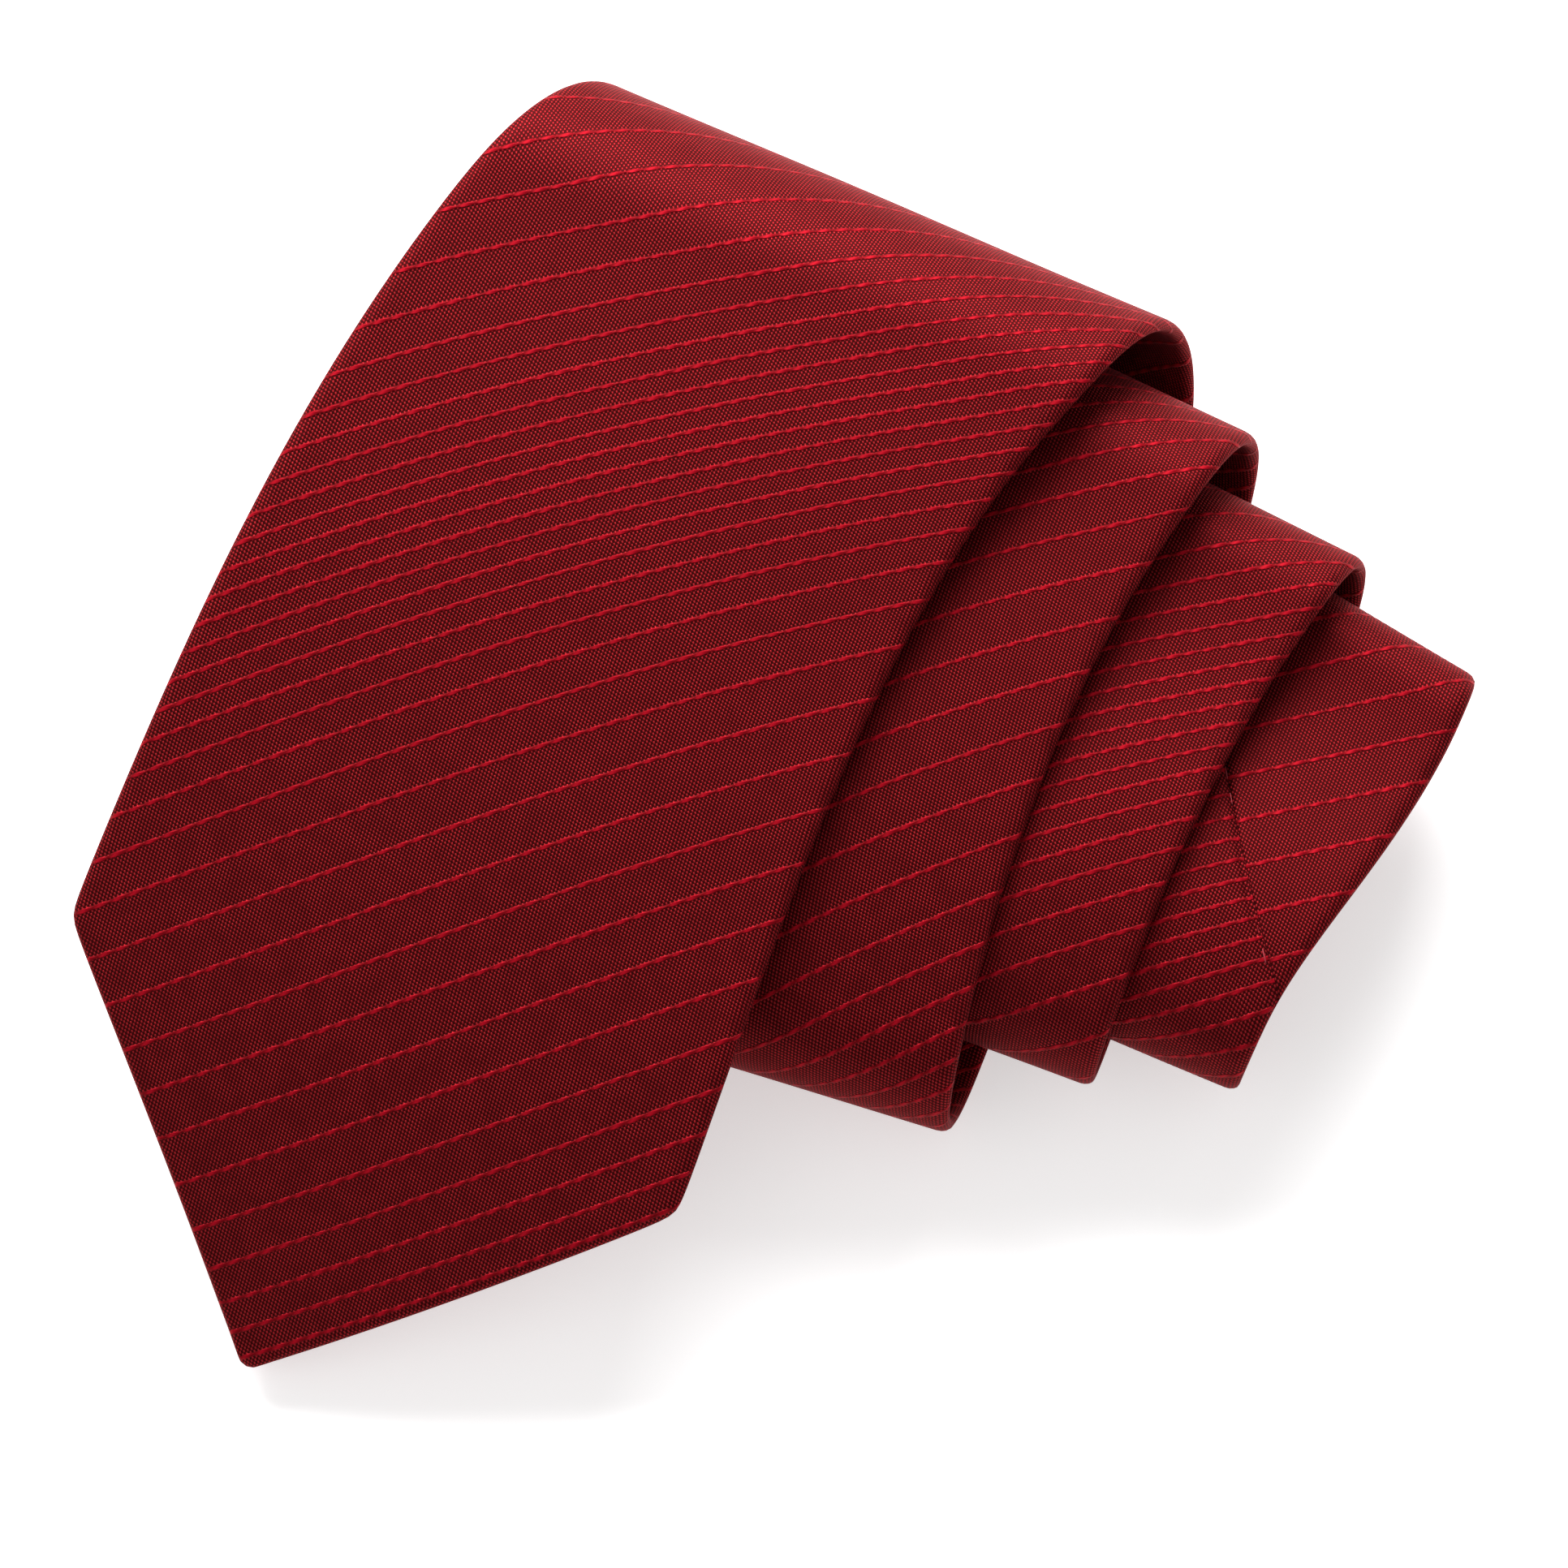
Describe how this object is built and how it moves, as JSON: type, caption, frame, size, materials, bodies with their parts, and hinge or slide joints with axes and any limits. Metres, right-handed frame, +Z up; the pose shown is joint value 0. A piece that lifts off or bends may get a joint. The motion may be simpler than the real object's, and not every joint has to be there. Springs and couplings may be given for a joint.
{
  "type": "necktie",
  "caption": "Striped necktie wound in a loose flat roll with its pointed blade on top, its inner turns fanned out sideways.",
  "frame": {"origin": "middle of the roll's outline, on the table it lies on", "axes": "+X along the roll towards the fanned narrow turns, +Y from the blade's point towards the crest of the roll, +Z up"},
  "size_m": [0.1392, 0.1604, 0.0369],
  "materials": {
    "jacquard": "red jacquard with raised diagonal stripes, soft sheen",
    "lining": "plain red lining twill, soft sheen",
    "wool": "brushed wool-blend interlining",
    "thread": "red sewing thread",
    "label_black": "black woven satin label, blank",
    "label_white": "white woven label, blank"
  },
  "bodies": {
    "roll": {"blade_shell": "jacquard", "neck_shell": "jacquard", "tail_shell": "jacquard", "interlining": "wool", "tail_tipping": "lining", "tail_hem_stitch": "thread", "slip_stitch": "thread", "tail_bar_tack": "thread", "keeper_loop": "jacquard", "keeper_stitches": "thread", "maker_label": "label_black", "label_stitches": "thread", "care_label": "label_white", "blade_neck_seam": "thread", "neck_tail_seam": "thread"},
    "flap": {"blade_flap": "jacquard", "flap_interlining": "wool", "blade_tipping": "lining", "blade_hem_stitch": "thread", "flap_slip_stitch": "thread", "blade_bar_tack": "thread"}
  },
  "joints": [
    {"name": "blade_lift", "type": "hinge", "parent": "roll", "child": "flap", "pos_m": [-0.03126, 0.02588, 0.03451], "axis": [-0.999, -0.0452, 0], "range_deg": [0, 100]}
  ]
}
